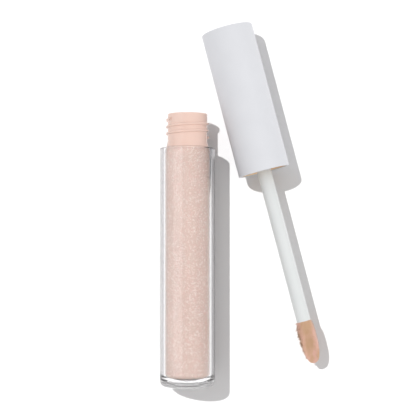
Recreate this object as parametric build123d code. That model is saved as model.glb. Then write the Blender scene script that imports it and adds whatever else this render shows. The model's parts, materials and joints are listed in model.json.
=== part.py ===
from build123d import *
import os

# Lip gloss tube lying open on a table, with its applicator beside it. Millimetres.
# +Y runs along the tube from its base to its neck, +Z is up, and the table is Z = 0.
# The origin is the middle of the pair's footprint. Each group is drawn standing up in a
# frame of its own, with Z along its axis, and laid down at the end.
#   Tube frame: Z = 0 at the bottom of the base.
#   Applicator frame: Z = 0 at the cap's rim, the cap above it and the wand below it.

# Outer shell
shell_r = 8.0
shell_length = 69.45
shell_bore_r = 6.6
shell_base = 1.45
shell_base_round = 1.8
shell_rim_round = 0.25

# Inner vial and its neck
vial_r = 6.5
vial_bore_r = 5.5
vial_z = 1.5
vial_floor = 1.15
vial_round = 2.4
vial_shoulder_z = 68.25
neck_r = 5.8
neck_bore_r = 4.75
neck_z = 71.55
neck_top_z = 79.45
neck_rim_round = 0.15
throat_z = 65.75
throat_length = 2.0
thread_pitch = 2.0
thread_height = 0.5
thread_root_width = 1.0
thread_crest_width = 0.4
thread_turns = 2.6
thread_z = 72.6
thread_embed = 0.2

# Wiper, which drops into a counterbore in the neck
wiper_flange_r = 5.2
wiper_flange = 0.6
wiper_wall = 0.6
wiper_cone_z = 73.25
wiper_lip_z = 70.45
wiper_end_z = 69.65
wiper_cone_wall = 0.25
wiper_orifice_r = 2.15

# Gloss
gloss_gap = 0.02
gloss_level_z = 69.45

# Cap
cap_r = 7.575
cap_length = 43.2
cap_wall = 0.7
cap_top = 1.4
cap_edge_round = 0.45
cap_rim_round = 0.2
inner_cap_gap = 0.025
inner_cap_rim_z = 0.25
inner_cap_bore_r = 6.45
inner_cap_roof = 1.2
female_root_width = 0.8
female_crest_width = 0.3
female_height = 0.5
female_turns = 1.25
closed_rim_gap = 0.2
liner_gap = 0.05
liner_thick = 0.8
liner_bore_r = 2.95
socket_r = 3.45
socket_length = 9.0
rib_count = 4
rib_width = 0.9
rib_short = 1.0
rib_embed = 0.2

# Wand
stem_r = 2.05
stem_length = 45.2
stem_flange_r = 2.9
stem_flange_embed = 0.1
socket_gap = 0.02
peg_r = 1.1
peg_length = 4.0
peg_hole_spare = 0.1
tip_length = 13.3
tip_r = 2.5
tip_swell = 3.2
tip_nose = 7.8
tip_taper = 0.02
flock_thick = 0.35
face_start = 3.0
face_end_height = -0.9
groove_r = 3.2
groove_depth = 0.3
cutter = 60.0

# Where the two lie on the table
tube_x = -15.203
tube_base_y = -53.139
cap_rim_x = 7.227
cap_rim_y = 9.531
applicator_turn = 14.7

closed_rim_z = shell_length + closed_rim_gap
liner_z = neck_top_z - closed_rim_z + liner_gap
roof_z = liner_z + liner_thick
socket_z = roof_z + inner_cap_roof


def turned(outline):
    """A solid of revolution about Z from its half outline, given as (radius, height) points."""
    return revolve(make_face(Polyline([(r, 0, z) for r, z in outline], close=True)), Axis.Z)


def edges_at(solid, radius, z):
    """The full-circle edges of a turned solid at one radius and height."""
    circles = solid.edges().filter_by(GeomType.CIRCLE)
    return [e for e in circles if abs(e.radius - radius) < 1e-3 and abs(e.center().Z - z) < 1e-3]


def ring(outer_r, inner_r, low, high):
    """A plain ring between two heights."""
    return turned([(inner_r, low), (outer_r, low), (outer_r, high), (inner_r, high)])


def helical_ridge(radius, height, root_width, crest_width, turns, start_z):
    """A right-hand screw ridge on a wall of this radius. A negative height points inwards."""
    path = Helix(pitch=thread_pitch, height=thread_pitch * turns, radius=radius)
    embed = -thread_embed if height > 0 else thread_embed
    section = make_face(
        Polyline(
            (embed, -root_width / 2),
            (height, -crest_width / 2),
            (height, crest_width / 2),
            (embed, root_width / 2),
            close=True,
        )
    )
    start = Plane(origin=path @ 0, x_dir=(1, 0, 0), z_dir=path % 0)
    return Pos(0, 0, start_z) * sweep(start * section, path=path, is_frenet=True)


def make_outer_shell():
    """Thick clear cup with a solid base."""
    shell = turned(
        [
            (0, 0),
            (shell_r, 0),
            (shell_r, shell_length),
            (shell_bore_r, shell_length),
            (shell_bore_r, shell_base),
            (0, shell_base),
        ]
    )
    shell = fillet(edges_at(shell, shell_r, 0), shell_base_round)
    shell = fillet(edges_at(shell, shell_bore_r, shell_base), vial_round)
    rims = edges_at(shell, shell_r, shell_length) + edges_at(shell, shell_bore_r, shell_length)
    return fillet(rims, shell_rim_round)


def make_vial():
    """Inner bottle: round floor, conical shoulder and a neck with a screw thread."""
    seat_z = neck_top_z - wiper_flange
    seat_r = wiper_flange_r + gloss_gap
    floor_z = vial_z + vial_floor
    vial = turned(
        [
            (0, vial_z),
            (vial_r, vial_z),
            (vial_r, vial_shoulder_z),
            (neck_r, neck_z),
            (neck_r, neck_top_z),
            (seat_r, neck_top_z),
            (seat_r, seat_z),
            (neck_bore_r, seat_z),
            (neck_bore_r, throat_z + throat_length),
            (vial_bore_r, throat_z),
            (vial_bore_r, floor_z),
            (0, floor_z),
        ]
    )
    vial = fillet(edges_at(vial, vial_r, vial_z), vial_round)
    vial = fillet(edges_at(vial, vial_bore_r, floor_z), vial_round - vial_floor / 2)
    vial = fillet(edges_at(vial, neck_r, neck_top_z), neck_rim_round)
    thread = helical_ridge(
        neck_r, thread_height, thread_root_width, thread_crest_width, thread_turns, thread_z
    )
    return vial + thread


def make_wiper():
    """Soft flanged sleeve whose cone narrows to the hole that wipes the wand."""
    sleeve_r = neck_bore_r - gloss_gap
    inner_r = sleeve_r - wiper_wall
    lip_r = wiper_orifice_r + wiper_wall
    return turned(
        [
            (inner_r, neck_top_z),
            (wiper_flange_r, neck_top_z),
            (wiper_flange_r, neck_top_z - wiper_flange),
            (sleeve_r, neck_top_z - wiper_flange),
            (sleeve_r, wiper_cone_z),
            (lip_r, wiper_lip_z),
            (lip_r, wiper_end_z),
            (wiper_orifice_r, wiper_end_z),
            (wiper_orifice_r, wiper_lip_z + wiper_cone_wall),
            (inner_r, wiper_cone_z + wiper_cone_wall),
        ]
    )


def make_gloss():
    """The gloss in the vial, up to the underside of the wiper."""
    floor_z = vial_z + vial_floor + gloss_gap
    body_r = vial_bore_r - gloss_gap
    throat_r = neck_bore_r - gloss_gap
    gloss = turned(
        [
            (0, floor_z),
            (body_r, floor_z),
            (body_r, throat_z - gloss_gap),
            (throat_r, throat_z + throat_length - gloss_gap),
            (throat_r, gloss_level_z),
            (0, gloss_level_z),
        ]
    )
    return fillet(edges_at(gloss, body_r, floor_z), vial_round - vial_floor / 2)


def make_cap_shell():
    """Straight outer cap, closed at the top."""
    bore_r = cap_r - cap_wall
    cap = turned(
        [
            (bore_r, 0),
            (cap_r, 0),
            (cap_r, cap_length),
            (0, cap_length),
            (0, cap_length - cap_top),
            (bore_r, cap_length - cap_top),
        ]
    )
    cap = fillet(edges_at(cap, cap_r, cap_length), cap_edge_round)
    return fillet(edges_at(cap, cap_r, 0), cap_rim_round)


def make_inner_cap():
    """Threaded closure inside the cap, with a socket and ribs that hold the stem."""
    outer_r = cap_r - cap_wall - inner_cap_gap
    hole_r = stem_r + socket_gap
    skirt = ring(outer_r, inner_cap_bore_r, inner_cap_rim_z, roof_z)
    roof = ring(outer_r, hole_r, roof_z, socket_z)
    socket = ring(socket_r, hole_r, socket_z, socket_z + socket_length)
    closure = skirt + roof + socket
    rib_length = outer_r - socket_r + rib_embed
    rib_height = socket_length - rib_short
    rib_x = socket_r - rib_embed + rib_length / 2
    rib_z = socket_z + rib_height / 2
    for place in PolarLocations(0, rib_count):
        closure += place * Pos(rib_x, 0, rib_z) * Box(rib_length, rib_width, rib_height)
    closure &= ring(outer_r, hole_r, inner_cap_rim_z, socket_z + socket_length)
    female_z = thread_z + thread_pitch / 2 - closed_rim_z
    thread = helical_ridge(
        inner_cap_bore_r,
        -female_height,
        female_root_width,
        female_crest_width,
        female_turns,
        female_z,
    )
    return closure + thread


def make_cap_liner():
    """Sealing washer against the closure's roof."""
    return ring(inner_cap_bore_r - gloss_gap, liner_bore_r, liner_z, roof_z)


def make_stem():
    """Rod from the closure's socket to the tip, with a stop flange and a blind hole for the tip."""
    rod = Pos(0, 0, -stem_length) * Cylinder(
        stem_r,
        stem_length + socket_z + socket_length,
        align=(Align.CENTER, Align.CENTER, Align.MIN),
    )
    flange = ring(stem_flange_r, stem_r - stem_flange_embed, liner_z, roof_z)
    hole = Pos(0, 0, -stem_length) * Cylinder(
        peg_r + gloss_gap,
        peg_length + peg_hole_spare,
        align=(Align.CENTER, Align.CENTER, Align.MIN),
    )
    return rod + flange - hole


def make_tip(skin):
    """Doe-foot form, pointing down from the stem's end: a round-nosed swelling cut by a slanted
    face with a shallow groove. skin is how far it lies inside the finished surface."""
    widest = tip_r - skin
    end = tip_length - skin
    nose_start = tip_length - tip_nose
    side = Spline(
        (stem_r - skin, 0),
        (widest, -tip_swell),
        (widest - tip_taper, -nose_start),
        tangents=[(0.35, -1), (0, -1)],
    )
    nose = EllipticalCenterArc(
        (0, -nose_start), widest - tip_taper, end - nose_start, start_angle=270, arc_size=90
    )
    outline = [side, nose, Line((0, -end), (0, 0)), Line((0, 0), (stem_r - skin, 0))]
    body = revolve(Plane.XZ * make_face(outline), Axis.Z)
    slant = (tip_r - face_end_height) / (tip_length - face_start)
    lean = Vector(0, -1, -slant).normalized()
    face = Plane(
        origin=Vector(0, -tip_r, -face_start) - lean * skin, x_dir=(1, 0, 0), z_dir=lean
    )
    above = face * Box(cutter, cutter, cutter, align=(Align.CENTER, Align.CENTER, Align.MIN))
    groove = (
        face
        * Pos(0, 0, groove_r - groove_depth)
        * Rot(90, 0, 0)
        * Cylinder(groove_r, cutter)
    )
    return body - above - groove


def make_tip_core():
    """Moulded core of the tip, with the peg that plugs into the stem."""
    peg = Cylinder(peg_r, peg_length, align=(Align.CENTER, Align.CENTER, Align.MIN))
    return Pos(0, 0, -stem_length) * (make_tip(flock_thick) + peg)


def make_tip_flock():
    """Layer of short fibres over the core."""
    return Pos(0, 0, -stem_length) * (make_tip(0) - make_tip(flock_thick))


lay_down = Rot(-90, 0, 0)
lay_tube = Pos(tube_x, tube_base_y, shell_r) * lay_down
lay_applicator = Pos(cap_rim_x, cap_rim_y, cap_r) * Rot(0, 0, applicator_turn) * lay_down

tube_parts = {
    "outer_shell": make_outer_shell(),
    "vial": make_vial(),
    "wiper": make_wiper(),
    "gloss": make_gloss(),
}
applicator_parts = {
    "cap_shell": make_cap_shell(),
    "inner_cap": make_inner_cap(),
    "cap_liner": make_cap_liner(),
    "stem": make_stem(),
    "tip_core": make_tip_core(),
    "tip_flock": make_tip_flock(),
}

os.makedirs("parts", exist_ok=True)
for name, part in tube_parts.items():
    export_step(lay_tube * part, f"parts/{name}.step")
for name, part in applicator_parts.items():
    export_step(lay_applicator * part, f"parts/{name}.step")
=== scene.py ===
import json
import math
import random

import bpy
import bmesh
from mathutils import Matrix, Vector


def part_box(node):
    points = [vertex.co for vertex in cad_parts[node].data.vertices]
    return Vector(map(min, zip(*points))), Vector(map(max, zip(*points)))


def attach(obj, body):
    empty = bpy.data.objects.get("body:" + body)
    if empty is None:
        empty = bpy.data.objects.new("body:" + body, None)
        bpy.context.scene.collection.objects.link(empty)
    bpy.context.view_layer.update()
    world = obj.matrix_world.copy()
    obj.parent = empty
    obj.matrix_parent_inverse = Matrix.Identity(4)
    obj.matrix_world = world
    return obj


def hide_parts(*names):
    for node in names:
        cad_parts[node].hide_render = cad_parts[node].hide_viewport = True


MM = 0.001
PER_MM = 1000
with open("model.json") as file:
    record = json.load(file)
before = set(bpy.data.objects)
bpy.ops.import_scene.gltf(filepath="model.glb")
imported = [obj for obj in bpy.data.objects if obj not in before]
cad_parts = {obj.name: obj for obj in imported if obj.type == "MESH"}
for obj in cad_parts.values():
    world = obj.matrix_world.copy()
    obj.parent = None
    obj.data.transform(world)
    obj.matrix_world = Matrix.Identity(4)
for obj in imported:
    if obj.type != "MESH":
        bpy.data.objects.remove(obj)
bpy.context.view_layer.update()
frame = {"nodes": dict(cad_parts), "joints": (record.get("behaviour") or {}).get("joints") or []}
nodes = frame["nodes"]

# ---------------------------------------------------------------- places from the frame
shell_low, shell_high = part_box("outer_shell")
vial_low, vial_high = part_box("vial")
tube_axis = Vector(((shell_low.x + shell_high.x) / 2, shell_low.y, (shell_low.z + shell_high.z) / 2))
shell_radius = (shell_high.x - shell_low.x) / 2
shell_length = shell_high.y - shell_low.y
neck_top = vial_high.y - shell_low.y

turn_joint = next(j for j in frame["joints"] if j["name"] == "cap_turn")
cap_rim = Vector(turn_joint["pos_m"])
cap_axis = Vector(turn_joint["axis"]).normalized()


def tube_matrix():
    """Tube frame: Z along the tube from the base, laid along +Y."""
    return Matrix.Translation(tube_axis) @ Matrix.Rotation(math.radians(-90), 4, "X")


# ---------------------------------------------------------------- camera
CAMERA_DISTANCE = 0.375
VIEW_WIDTH = 0.12147
VIEW_CENTRE = Vector((-0.00921, -0.00119, 0.008))
CAMERA_BACK = 0.0137
SENSOR = 36.0


def make_camera():
    """Nearly straight down, a little towards the tube's base."""
    data = bpy.data.cameras.new("camera")
    data.sensor_width = SENSOR
    data.lens = SENSOR * CAMERA_DISTANCE / VIEW_WIDTH
    data.clip_start = 0.01
    data.clip_end = 10.0
    camera = bpy.data.objects.new("camera", data)
    bpy.context.scene.collection.objects.link(camera)
    camera.location = VIEW_CENTRE + Vector((0, -CAMERA_BACK, CAMERA_DISTANCE))
    tilt = math.atan2(CAMERA_BACK, CAMERA_DISTANCE)
    camera.rotation_euler = (tilt, 0, 0)
    bpy.context.scene.camera = camera


# ---------------------------------------------------------------- light and floor
# Angles are in degrees: how wide each lamp looks from the object.
SUN_DIRECTION = Vector((0.46, -0.36, -1.0))
SUN_STRENGTH = 2.6
SUN_ANGLE = 1.0
SOFT_DIRECTION = Vector((-0.22, -0.10, -1.0))
SOFT_STRENGTH = 1.95
SOFT_ANGLE = 165.0
GLINT_DIRECTION = Vector((0.83, 0.0, -0.56))
GLINT_STRENGTH = 0.75
GLINT_ANGLE = 66.0
SKY_STRENGTH = 0.69
SKY_COLOUR = (1.0, 0.985, 0.99)
SKY_HORIZON = 0.55
SKY_RISE = 0.5
FLOOR_HALF = 2.0
FLOOR_GREY = 0.86


def make_sun(name, direction, strength, angle, pieces, state="INCLUDE"):
    """A sun lamp that lights only these pieces, or all but these. Every object shades it."""
    lit = bpy.data.collections.new("lit_by_" + name)
    for piece in pieces:
        lit.objects.link(piece)
    for member in lit.collection_objects:
        member.light_linking.link_state = state
    lamp = bpy.data.lights.new(name, "SUN")
    lamp.energy = strength
    lamp.angle = math.radians(angle)
    sun = bpy.data.objects.new(name, lamp)
    sun.rotation_euler = direction.to_track_quat("-Z", "Y").to_euler()
    bpy.context.scene.collection.objects.link(sun)
    sun.light_linking.receiver_collection = lit
    return sun


def make_light(floor, clear_pieces):
    """A hard sun throws the shadows on the table and a wide soft one overhead lights the pieces evenly.
    A wide lamp from the left shows only as a reflection in the clear walls. A white sky, dimmer at
    the horizon, fills the rest."""
    make_sun("hard_sun", SUN_DIRECTION, SUN_STRENGTH, SUN_ANGLE, [floor])
    soft = make_sun("soft_sun", SOFT_DIRECTION, SOFT_STRENGTH, SOFT_ANGLE, [floor], "EXCLUDE")
    soft.visible_glossy = False
    glint = make_sun("glint", GLINT_DIRECTION, GLINT_STRENGTH, GLINT_ANGLE, clear_pieces)
    glint.visible_diffuse = False
    world = bpy.data.worlds.new("sky")
    world.use_nodes = True
    tree = world.node_tree
    background = tree.nodes["Background"]
    height = tree.nodes.new("ShaderNodeSeparateXYZ")
    tree.links.new(tree.nodes.new("ShaderNodeTexCoord").outputs["Generated"], height.inputs["Vector"])
    colour = ramp(tree, height.outputs["Z"], [(0.0, grey(SKY_HORIZON)), (SKY_RISE, SKY_COLOUR)])
    tree.links.new(colour, background.inputs["Color"])
    background.inputs["Strength"].default_value = SKY_STRENGTH
    bpy.context.scene.world = world
    bpy.context.scene.view_settings.view_transform = "Standard"


def make_floor():
    """Plain white table, far larger than the view."""
    mesh = bpy.data.meshes.new("floor")
    near, far = -FLOOR_HALF, FLOOR_HALF
    corners = [(near, near, 0), (far, near, 0), (far, far, 0), (near, far, 0)]
    mesh.from_pydata(corners, [], [(0, 1, 2, 3)])
    floor = bpy.data.objects.new("floor", mesh)
    bpy.context.scene.collection.objects.link(floor)
    material, shader, _ = new_material("floor_white")
    shader.inputs["Base Color"].default_value = (*grey(FLOOR_GREY), 1)
    shader.inputs["Roughness"].default_value = 0.9
    shader.inputs["Specular IOR Level"].default_value = 0.0
    mesh.materials.append(material)
    return floor


# ---------------------------------------------------------------- material helpers
def new_material(name):
    """A node material with one Principled shader. Gives the material, the shader and its tree."""
    material = bpy.data.materials.new(name)
    material.use_nodes = True
    tree = material.node_tree
    shader = tree.nodes["Principled BSDF"]
    return material, shader, tree


def set_material(piece, material):
    """Gives the whole piece one material."""
    piece.data.materials.clear()
    piece.data.materials.append(material)


def grey(level):
    """A colour of three equal channels."""
    return (level,) * 3


def object_coords(tree):
    """The piece's own coordinates, which move with it."""
    return tree.nodes.new("ShaderNodeTexCoord").outputs["Object"]


def split_coords(tree):
    """The piece's own X, Y and Z."""
    node = tree.nodes.new("ShaderNodeSeparateXYZ")
    tree.links.new(object_coords(tree), node.inputs["Vector"])
    return node.outputs


def noise(tree, per_mm, detail, streak=None):
    """Noise with per_mm features to the millimetre. A streak under 1 draws them out along Y."""
    node = tree.nodes.new("ShaderNodeTexNoise")
    node.inputs["Scale"].default_value = per_mm * PER_MM
    node.inputs["Detail"].default_value = detail
    source = object_coords(tree)
    if streak:
        mapping = tree.nodes.new("ShaderNodeMapping")
        mapping.inputs["Scale"].default_value = (1.0, streak, 1.0)
        tree.links.new(source, mapping.inputs["Vector"])
        source = mapping.outputs["Vector"]
    tree.links.new(source, node.inputs["Vector"])
    return node.outputs["Fac"]


def ramp(tree, value, stops):
    """Colour ramp from (position, colour) stops."""
    node = tree.nodes.new("ShaderNodeValToRGB")
    tree.links.new(value, node.inputs["Fac"])
    elements = node.color_ramp.elements
    while len(elements) < len(stops):
        elements.new(0.5)
    for element, (position, colour) in zip(elements, stops):
        element.position = position
        element.color = (*colour, 1)
    return node.outputs["Color"]


def bump(tree, shader, height, strength, distance):
    """Small relief on the shader, at most this distance in metres."""
    node = tree.nodes.new("ShaderNodeBump")
    node.inputs["Strength"].default_value = strength
    node.inputs["Distance"].default_value = distance
    tree.links.new(height, node.inputs["Height"])
    tree.links.new(node.outputs["Normal"], shader.inputs["Normal"])


def math_node(tree, operation, first, second):
    """One arithmetic step, on numbers or on other nodes' outputs."""
    node = tree.nodes.new("ShaderNodeMath")
    node.operation = operation
    for socket, value in zip(node.inputs, (first, second)):
        if isinstance(value, (int, float)):
            socket.default_value = value
        else:
            tree.links.new(value, socket)
    return node.outputs["Value"]


def one_minus(tree, value):
    """The rest up to 1."""
    return math_node(tree, "SUBTRACT", 1.0, value)


def colour_input(node, name):
    """The colour input of this name. A Mix node has an input of each name for every type."""
    return next(s for s in node.inputs if s.name == name and s.type == "RGBA")


def mix_colour(tree, factor, first, second):
    """The first colour at factor 0 and the second at 1. Each is a tuple or a node's output."""
    node = tree.nodes.new("ShaderNodeMix")
    node.data_type = "RGBA"
    tree.links.new(factor, node.inputs["Factor"])
    for name, value in (("A", first), ("B", second)):
        socket = colour_input(node, name)
        if isinstance(value, tuple):
            socket.default_value = (*value, 1)
        else:
            tree.links.new(value, socket)
    return next(o for o in node.outputs if o.type == "RGBA")


# ---------------------------------------------------------------- clear plastics
PLASTIC_IOR = 1.49
BASE_DEPTH = 2.0 * MM
# Points beyond this share of the radius are on the outer wall.
OUTER_SHARE = 0.96
# A radius that nothing reaches, for a piece with no outer wall of the tube.
NO_OUTER_WALL = 1.0
EDGE_BLEND = 0.5
# Painted shade on the shell: as its side is seen more edge-on, its colour greys from clear to the edge
# grey and then the rim grey. This stands in for the darker edges that clear plastic shows.
EDGE_SHADE_START = 0.42
EDGE_SHADE_FULL = 0.52
BASE_CLOUD = 0.16
SHELL_CLEAR = (0.98, 0.98, 0.985)
SHELL_EDGE_SHADE = (0.32, 0.31, 0.32)
SHELL_RIM_SHADE = (0.42, 0.425, 0.44)
SHELL_ROUGHNESS = 0.02
VIAL_TINT = (0.99, 0.95, 0.93)
VIAL_ROUGHNESS = 0.04
NECK_CLOUD = 0.72
NECK_PEACH = (0.86, 0.645, 0.56)
# The neck's cloud starts this far before the shell's end and is full this far past it.
CLOUD_START = 0.3 * MM
CLOUD_FULL = 0.5 * MM


def clear_plastic(name, colour, roughness, outer_radius):
    """Clear polished plastic. A shadow ray from inside passes out, so what the tube holds is lit. One
    that meets the outer wall or the base from outside stops, so the shell casts a full shadow."""
    material, shader, tree = new_material(name)
    shader.inputs["Base Color"].default_value = (*colour, 1)
    shader.inputs["Roughness"].default_value = roughness
    shader.inputs["IOR"].default_value = PLASTIC_IOR
    shader.inputs["Transmission Weight"].default_value = 1.0
    coords = split_coords(tree)
    across = math_node(tree, "SUBTRACT", coords["X"], tube_axis.x)
    up = math_node(tree, "SUBTRACT", coords["Z"], tube_axis.z)
    square = math_node(
        tree, "ADD", math_node(tree, "POWER", across, 2.0), math_node(tree, "POWER", up, 2.0)
    )
    wall = math_node(tree, "GREATER_THAN", square, (outer_radius * OUTER_SHARE) ** 2)
    base = math_node(tree, "LESS_THAN", coords["Y"], tube_axis.y + BASE_DEPTH)
    outer = math_node(tree, "MAXIMUM", wall, base)
    back = tree.nodes.new("ShaderNodeNewGeometry").outputs["Backfacing"]
    blocks = math_node(tree, "MULTIPLY", outer, one_minus(tree, back))
    shadow_ray = tree.nodes.new("ShaderNodeLightPath").outputs["Is Shadow Ray"]
    passes = math_node(tree, "MULTIPLY", shadow_ray, one_minus(tree, blocks))
    through = tree.nodes.new("ShaderNodeBsdfTransparent")
    mix = tree.nodes.new("ShaderNodeMixShader")
    tree.links.new(passes, mix.inputs["Fac"])
    tree.links.new(shader.outputs["BSDF"], mix.inputs[1])
    tree.links.new(through.outputs["BSDF"], mix.inputs[2])
    tree.links.new(mix.outputs["Shader"], tree.nodes["Material Output"].inputs["Surface"])
    scuffs = noise(tree, per_mm=0.35, detail=3.0, streak=0.2)
    bump(tree, shader, scuffs, strength=0.03, distance=0.02 * MM)
    return material


def shell_plastic():
    """Clear outer wall with painted shade: its colour greys the more edge-on its side is seen, with a
    slightly hazy base.
    """
    material = clear_plastic("shell_clear", SHELL_CLEAR, SHELL_ROUGHNESS, shell_radius)
    tree = material.node_tree
    shader = tree.nodes["Principled BSDF"]
    weight = tree.nodes.new("ShaderNodeLayerWeight")
    weight.inputs["Blend"].default_value = EDGE_BLEND
    wall = math_node(tree, "GREATER_THAN", split_coords(tree)["Y"], tube_axis.y + BASE_DEPTH)
    side = math_node(tree, "MULTIPLY", weight.outputs["Facing"], wall)
    # Painted shade: the base colour goes from clear to grey the more edge-on the wall is seen.
    stops = [(EDGE_SHADE_START, SHELL_CLEAR), (EDGE_SHADE_FULL, SHELL_EDGE_SHADE), (1.0, SHELL_RIM_SHADE)]
    tree.links.new(ramp(tree, side, stops), shader.inputs["Base Color"])
    haze = math_node(tree, "MULTIPLY", one_minus(tree, wall), BASE_CLOUD)
    tree.links.new(one_minus(tree, haze), shader.inputs["Transmission Weight"])
    return material


def vial_plastic():
    """Clear vial whose neck is clouded by the gloss that has dried on it."""
    material = clear_plastic("vial_clear", VIAL_TINT, VIAL_ROUGHNESS, NO_OUTER_WALL)
    tree = material.node_tree
    shader = tree.nodes["Principled BSDF"]
    from_base = math_node(tree, "SUBTRACT", split_coords(tree)["Y"], tube_axis.y)
    rise = tree.nodes.new("ShaderNodeMapRange")
    tree.links.new(from_base, rise.inputs["Value"])
    rise.inputs["From Min"].default_value = shell_length - CLOUD_START
    rise.inputs["From Max"].default_value = shell_length + CLOUD_FULL
    rise.inputs["To Min"].default_value = 1.0
    rise.inputs["To Max"].default_value = 1.0 - NECK_CLOUD
    tree.links.new(rise.outputs["Result"], shader.inputs["Transmission Weight"])
    on_neck = math_node(tree, "GREATER_THAN", from_base, shell_length)
    tree.links.new(mix_colour(tree, on_neck, VIAL_TINT, NECK_PEACH), shader.inputs["Base Color"])
    return material


# ---------------------------------------------------------------- gloss, moulded and flocked materials
GLOSS_STREAKS = [
    (0.3, (0.72, 0.545, 0.475)),
    (0.5, (0.74, 0.57, 0.495)),
    (0.7, (0.77, 0.60, 0.525)),
]
FLAKES_PER_METRE = 3800
# Each flake has three random values. One picks the pale flakes and one the pink. The third sets the
# roughness and the relief.
PALE_ABOVE = 0.82
PALE_STRENGTH = 0.55
PALE_FLAKE = (1.0, 0.93, 0.88)
PINK_ABOVE = 0.84
PINK_STRENGTH = 0.3
PINK_FLAKE = (0.86, 0.50, 0.46)
FLAKE_SMOOTH = 0.28
FLAKE_ROUGH = 0.6
SHEEN_SMOOTHER = 0.05
SHEEN_ROUGHER = 0.06
FLOCK_STREAKS = [
    (0.36, (0.64, 0.385, 0.30)),
    (0.5, (0.57, 0.345, 0.23)),
    (0.64, (0.52, 0.32, 0.185)),
]


def gloss_material():
    """Peach gloss with streaks along the tube and a fine shimmer of pale and pink flakes."""
    material, shader, tree = new_material("gloss_liquid")
    streaks = ramp(tree, noise(tree, per_mm=0.22, detail=3.0, streak=0.25), GLOSS_STREAKS)
    flakes = tree.nodes.new("ShaderNodeTexVoronoi")
    flakes.inputs["Scale"].default_value = FLAKES_PER_METRE
    tree.links.new(object_coords(tree), flakes.inputs["Vector"])
    chance = tree.nodes.new("ShaderNodeSeparateColor")
    tree.links.new(flakes.outputs["Color"], chance.inputs["Color"])
    pale = math_node(tree, "GREATER_THAN", chance.outputs["Red"], PALE_ABOVE)
    pink = math_node(tree, "GREATER_THAN", chance.outputs["Green"], PINK_ABOVE)
    colour = mix_colour(tree, math_node(tree, "MULTIPLY", pale, PALE_STRENGTH), streaks, PALE_FLAKE)
    colour = mix_colour(tree, math_node(tree, "MULTIPLY", pink, PINK_STRENGTH), colour, PINK_FLAKE)
    tree.links.new(colour, shader.inputs["Base Color"])
    ends = [(0.0, grey(FLAKE_SMOOTH)), (1.0, grey(FLAKE_ROUGH))]
    tree.links.new(ramp(tree, chance.outputs["Blue"], ends), shader.inputs["Roughness"])
    shader.inputs["Subsurface Weight"].default_value = 0.25
    shader.inputs["Subsurface Radius"].default_value = (1.0, 0.6, 0.5)
    shader.inputs["Subsurface Scale"].default_value = 0.6 * MM
    bump(tree, shader, chance.outputs["Blue"], strength=0.12, distance=0.03 * MM)
    return material


def moulded_plastic(name, dark, light, roughness):
    """Satin moulded plastic: slight clouding, an uneven sheen and a fine moulded grain."""
    material, shader, tree = new_material(name)
    clouds = ramp(tree, noise(tree, per_mm=0.12, detail=3.0), [(0.3, dark), (0.7, light)])
    tree.links.new(clouds, shader.inputs["Base Color"])
    ends = [(0.25, grey(roughness - SHEEN_SMOOTHER)), (0.75, grey(roughness + SHEEN_ROUGHER))]
    sheen = ramp(tree, noise(tree, per_mm=0.5, detail=4.0), ends)
    tree.links.new(sheen, shader.inputs["Roughness"])
    bump(tree, shader, noise(tree, per_mm=6.4, detail=4.0), strength=0.10, distance=0.02 * MM)
    return material


def flock_material():
    """Short fibres wetted with gloss: tan, with pinker and browner streaks."""
    material, shader, tree = new_material("wet_flock")
    streaks = ramp(tree, noise(tree, per_mm=0.6, detail=2.0, streak=0.3), FLOCK_STREAKS)
    tree.links.new(streaks, shader.inputs["Base Color"])
    shader.inputs["Roughness"].default_value = 0.42
    shader.inputs["Sheen Weight"].default_value = 0.3
    shader.inputs["Coat Weight"].default_value = 0.25
    shader.inputs["Coat Roughness"].default_value = 0.25
    bump(tree, shader, noise(tree, per_mm=9.0, detail=4.0), strength=0.6, distance=0.06 * MM)
    return material


# ---------------------------------------------------------------- gloss
GLOSS_OVERLAP = 0.02 * MM
VIAL_BORE = 5.5 * MM
NECK_BORE = 4.75 * MM
SEAT_BORE = 5.22 * MM
FILM_THICK = 0.06 * MM
VIAL_FLOOR = 2.65 * MM
FLOOR_ROUND = 1.82 * MM
THROAT = 65.75 * MM
THROAT_LENGTH = 2.0 * MM
GLOSS_LEVEL = 69.45 * MM
WIPER_FLANGE = 0.6 * MM
LATHE_STEPS = 128
ARC_STEPS = 10


def add_object(name, mesh):
    """Makes the bmesh an object of the scene."""
    data = bpy.data.meshes.new(name)
    mesh.to_mesh(data)
    mesh.free()
    piece = bpy.data.objects.new(name, data)
    bpy.context.scene.collection.objects.link(piece)
    return piece


def arc(centre_r, centre_z, radius, start, end):
    """Points of a circular arc in the outline's plane, between two angles in degrees."""
    points = []
    for k in range(ARC_STEPS + 1):
        angle = math.radians(start + (end - start) * k / ARC_STEPS)
        points.append((centre_r + radius * math.cos(angle), centre_z + radius * math.sin(angle)))
    return points


def add_ring(mesh, radius, height):
    """The corners of one outline point's circle, or one corner where the point is on the axis."""
    if radius == 0:
        return [mesh.verts.new((0, 0, height))]
    angles = [2 * math.pi * k / LATHE_STEPS for k in range(LATHE_STEPS)]
    return [mesh.verts.new((radius * math.cos(a), radius * math.sin(a), height)) for a in angles]


def lathe(name, outline, matrix):
    """A smooth closed surface of revolution about Z from (radius, height) points."""
    mesh = bmesh.new()
    rings = [add_ring(mesh, radius, height) for radius, height in outline]
    for first, second in zip(rings, rings[1:]):
        for k in range(LATHE_STEPS):
            j = (k + 1) % LATHE_STEPS
            corners = [first[k % len(first)], first[j % len(first)]]
            corners += [second[j % len(second)], second[k % len(second)]]
            mesh.faces.new(list(dict.fromkeys(corners)))
    bmesh.ops.recalc_face_normals(mesh, faces=mesh.faces)
    piece = add_object(name, mesh)
    piece.data.transform(matrix)
    for polygon in piece.data.polygons:
        polygon.use_smooth = True
    return piece


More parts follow.
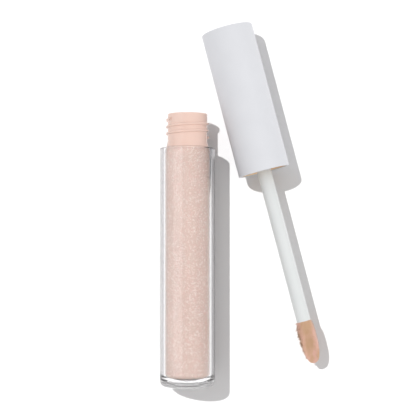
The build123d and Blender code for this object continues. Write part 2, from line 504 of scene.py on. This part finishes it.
def make_gloss(material):
    """The gloss wets the vial's wall, and a film of it fills the gap behind the wiper's sleeve."""
    body = VIAL_BORE + GLOSS_OVERLAP
    throat = NECK_BORE + GLOSS_OVERLAP
    seat = SEAT_BORE + GLOSS_OVERLAP
    low = VIAL_FLOOR - GLOSS_OVERLAP
    outline = [(0, low)]
    outline += arc(body - FLOOR_ROUND, low + FLOOR_ROUND, FLOOR_ROUND, -90, 0)
    outline += [
        (body, THROAT),
        (throat, THROAT + THROAT_LENGTH),
        (throat, neck_top - WIPER_FLANGE),
        (seat, neck_top - WIPER_FLANGE),
        (seat, neck_top - FILM_THICK),
        (seat - FILM_THICK, neck_top - FILM_THICK),
        (seat - FILM_THICK, neck_top - WIPER_FLANGE + FILM_THICK),
        (throat - FILM_THICK, neck_top - WIPER_FLANGE + FILM_THICK),
        (throat - FILM_THICK, GLOSS_LEVEL),
        (0, GLOSS_LEVEL),
    ]
    gloss = lathe("gloss_fill", outline, tube_matrix())
    set_material(gloss, material)
    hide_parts("gloss")
    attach(gloss, "tube")


# ---------------------------------------------------------------- flock fibres
# Distances from the cap's rim along the axis, to the flock's start and to a point within the tip.
TIP_START = 45.2 * MM
TIP_INSIDE = 51.6 * MM
END_MARGIN = 0.1 * MM
NOSE_SHARE = 0.3
SLIVER_AREA = 1e-14
SPIKE_SIDES = 3
FIBRE_COUNT = 5200
FIBRE_LENGTH = (0.22 * MM, 0.42 * MM)
FIBRE_RADIUS = 0.022 * MM
FIBRE_LEAN = 0.55
FIBRE_ROOT = 0.03 * MM
FIBRE_SEED = 11
TUFT_COUNT = 48
TUFT_FIBRES = 16
TUFT_RADIUS = 0.13 * MM
TUFT_LENGTH = (0.55 * MM, 0.95 * MM)
TUFT_DROOP = 0.4
TUFT_ROOT = 0.05 * MM
TUFT_POINT = 0.04 * MM
# Tufts stand where the surface faces sideways at least this much and up or down less than this.
TUFT_SIDE = 0.2
TUFT_FLAT = 0.6
TUFT_SEED = 23


def outer_flock():
    """The triangles of the flock's outside, each as its area, corners and normal. Its inner face and
    its end at the stem are left out. At the nose the way out is along the axis, so the test adds a
    share of the way from the inside point."""
    source = nodes["tip_flock"].data
    source.calc_loop_triangles()
    junction = cap_rim - cap_axis * TIP_START
    inside = cap_rim - cap_axis * TIP_INSIDE
    triangles = []
    for triangle in source.loop_triangles:
        a, b, c = (source.vertices[i].co for i in triangle.vertices)
        centre = (a + b + c) / 3
        normal = (b - a).cross(c - a)
        area = normal.length / 2
        if area < SLIVER_AREA:
            continue
        normal.normalize()
        on_axis = cap_rim + cap_axis * (centre - cap_rim).dot(cap_axis)
        outward = centre - on_axis + (centre - inside) * NOSE_SHARE
        below = (junction - centre).dot(cap_axis)
        if below >= END_MARGIN and normal.dot(outward) > 0:
            triangles.append((area, (a, b, c), normal))
    return triangles


def scatter(triangles, count, rng):
    """About this many random points, even over the triangles, each with its triangle's normal."""
    total = sum(area for area, _, _ in triangles)
    for area, (a, b, c), normal in triangles:
        share = count * area / total
        extra = 1 if rng.random() < share - int(share) else 0
        for _ in range(int(share) + extra):
            s, t = rng.random(), rng.random()
            if s + t > 1:
                s, t = 1 - s, 1 - t
            yield a + (b - a) * s + (c - a) * t, normal


def random_vector(rng):
    """A vector with each part between -1 and 1."""
    return Vector((rng.uniform(-1, 1), rng.uniform(-1, 1), rng.uniform(-1, 1)))


def add_spike(mesh, start, side, other, peak):
    """A closed three-sided spike, whose base is spanned by side and other."""
    angles = [2 * math.pi * k / SPIKE_SIDES for k in range(SPIKE_SIDES)]
    base = [mesh.verts.new(start + side * math.cos(a) + other * math.sin(a)) for a in angles]
    tip = mesh.verts.new(peak)
    for k in range(SPIKE_SIDES):
        mesh.faces.new((base[k], base[(k + 1) % SPIKE_SIDES], tip))
    mesh.faces.new(base[::-1])


def add_fibre(mesh, rng, root, normal):
    """One fibre, leaning at random and towards the tip's end."""
    length = rng.uniform(*FIBRE_LENGTH)
    lean = random_vector(rng) - cap_axis
    direction = (normal + lean * FIBRE_LEAN).normalized()
    side = direction.orthogonal().normalized() * FIBRE_RADIUS
    other = direction.cross(side.normalized()) * FIBRE_RADIUS
    start = root - normal * FIBRE_ROOT
    add_spike(mesh, start, side, other, start + direction * length)


def add_tuft(mesh, rng, root, normal):
    """Wet fibres that meet in a point. Their thickness varies, because orthogonal() gives vectors of
    different lengths."""
    away = (normal - cap_axis * TUFT_DROOP).normalized()
    peak = root + away * rng.uniform(*TUFT_LENGTH)
    for _ in range(TUFT_FIBRES):
        spread = random_vector(rng) * TUFT_RADIUS
        foot = root + spread - normal * spread.dot(normal)
        along = (peak - foot).normalized()
        side = along.orthogonal() * FIBRE_RADIUS
        start = foot - normal * TUFT_ROOT
        add_spike(mesh, start, side, along.cross(side), peak + along * TUFT_POINT)


def make_fibres(triangles, material):
    """Short fibres all over the flocked tip."""
    rng = random.Random(FIBRE_SEED)
    mesh = bmesh.new()
    for root, normal in scatter(triangles, FIBRE_COUNT, rng):
        add_fibre(mesh, rng, root, normal)
    fibres = add_object("tip_fibres", mesh)
    set_material(fibres, material)
    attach(fibres, "applicator")


def make_tufts(triangles, material):
    """Tufts on the flank of the tip that the gloss hasn't smoothed."""
    rng = random.Random(TUFT_SEED)
    across = Vector((-cap_axis.y, cap_axis.x, 0)).normalized()
    flank = [
        (area, corners, normal)
        for area, corners, normal in triangles
        if normal.dot(across) > TUFT_SIDE and abs(normal.z) < TUFT_FLAT
    ]
    mesh = bmesh.new()
    for root, normal in scatter(flank, TUFT_COUNT, rng):
        add_tuft(mesh, rng, root, normal)
    tufts = add_object("tip_tufts", mesh)
    set_material(tufts, material)
    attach(tufts, "applicator")


# ---------------------------------------------------------------- build
# Each finish is the material's name, its darker and lighter colours and its roughness.
MOULDED = {
    "wiper": ("wiper_milky", (0.72, 0.52, 0.45), (0.78, 0.60, 0.53), 0.42),
    "cap_shell": ("cap_satin", (0.595, 0.605, 0.630), (0.615, 0.625, 0.650), 0.55),
    "inner_cap": ("closure_warm", (0.86, 0.56, 0.30), (0.95, 0.72, 0.46), 0.5),
    "cap_liner": ("liner_pale", (0.6, 0.56, 0.5), (0.68, 0.64, 0.58), 0.7),
    "stem": ("stem_white", (0.615, 0.64, 0.635), (0.635, 0.655, 0.65), 0.42),
    "tip_core": ("core_tan", (0.5, 0.32, 0.24), (0.6, 0.4, 0.3), 0.5),
}
TUFT_FINISH = ("tuft_brown", (0.40, 0.25, 0.14), (0.52, 0.33, 0.20), 0.5)

make_camera()
floor = make_floor()

set_material(nodes["outer_shell"], shell_plastic())
set_material(nodes["vial"], vial_plastic())
for node_name, finish in MOULDED.items():
    set_material(nodes[node_name], moulded_plastic(*finish))
flock = flock_material()
set_material(nodes["tip_flock"], flock)
flock_triangles = outer_flock()
make_fibres(flock_triangles, flock)
make_tufts(flock_triangles, moulded_plastic(*TUFT_FINISH))
make_gloss(gloss_material())
make_light(floor, [nodes["outer_shell"], nodes["vial"]])
